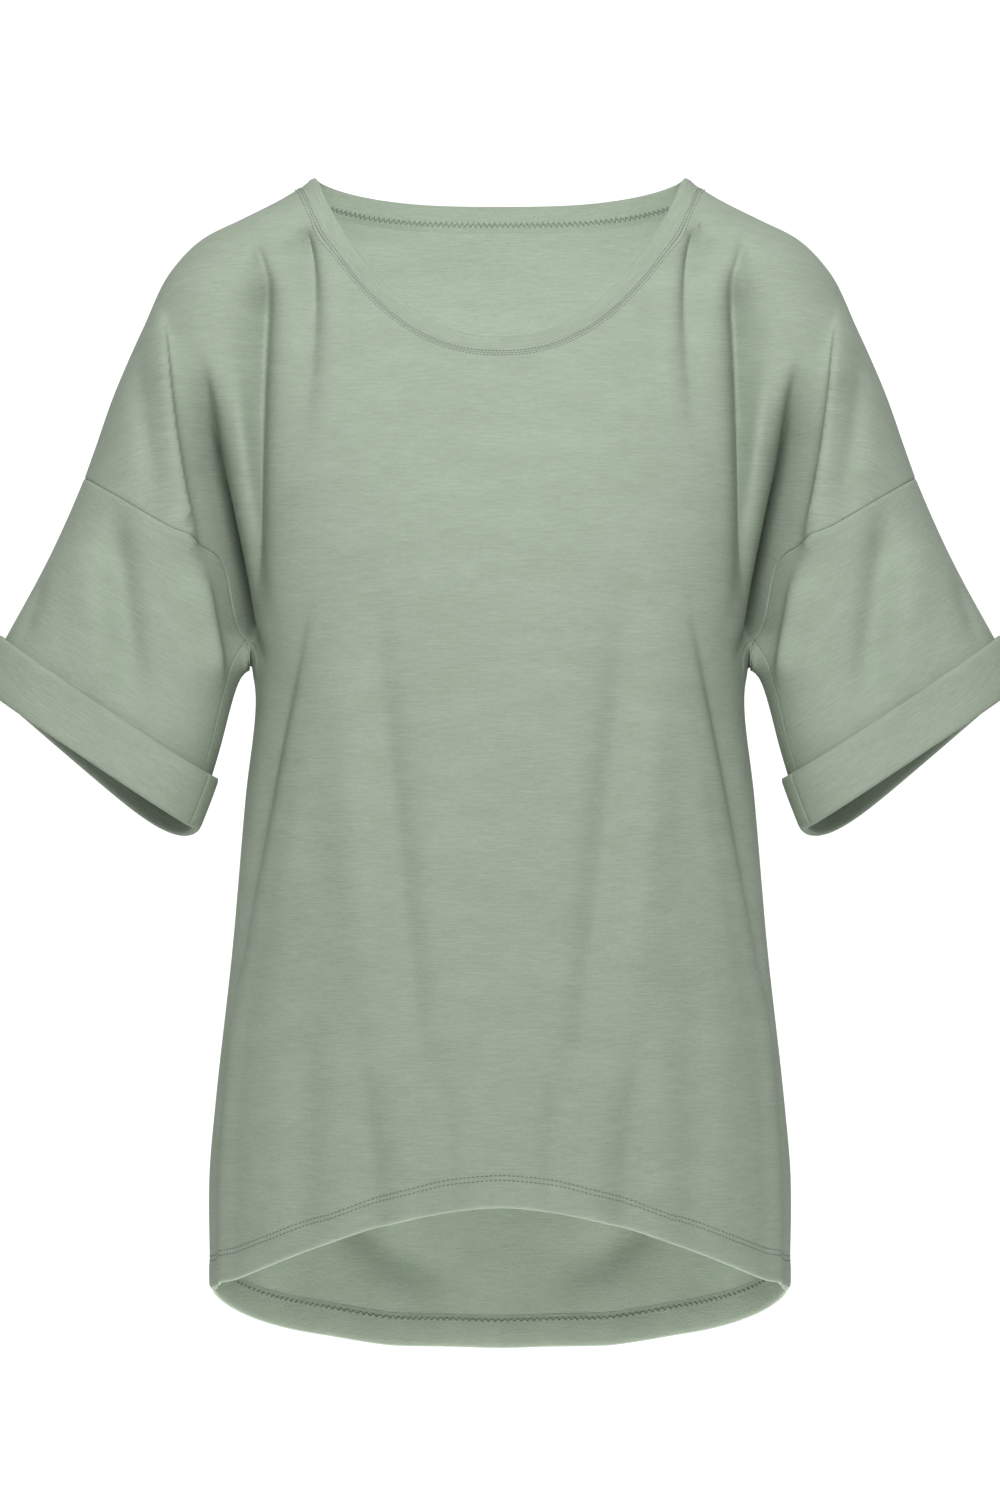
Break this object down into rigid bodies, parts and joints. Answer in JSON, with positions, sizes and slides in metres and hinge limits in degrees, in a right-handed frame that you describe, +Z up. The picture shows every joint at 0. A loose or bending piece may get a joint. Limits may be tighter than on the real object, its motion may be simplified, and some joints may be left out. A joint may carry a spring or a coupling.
{
  "type": "oversized t-shirt",
  "caption": "Oversized short-sleeved jersey t-shirt in its worn hollow form: scoop neck with a narrow band, dropped shoulders, turned-up cuffs, longer rounded back hem.",
  "frame": {"origin": "midway between the two high points of the shoulders, where the shoulder seams meet the neckband", "axes": "+Z up, the garment's front faces -Y, its own left sleeve at +X"},
  "size_m": [0.6748, 0.2562, 0.7755],
  "materials": {
    "jersey": "matte"
  },
  "bodies": {
    "root": {"front": "jersey", "back": "jersey", "neckband": "jersey", "sleeve_left": "jersey", "sleeve_right": "jersey", "cuff_left": "jersey", "cuff_right": "jersey"}
  },
  "joints": []
}
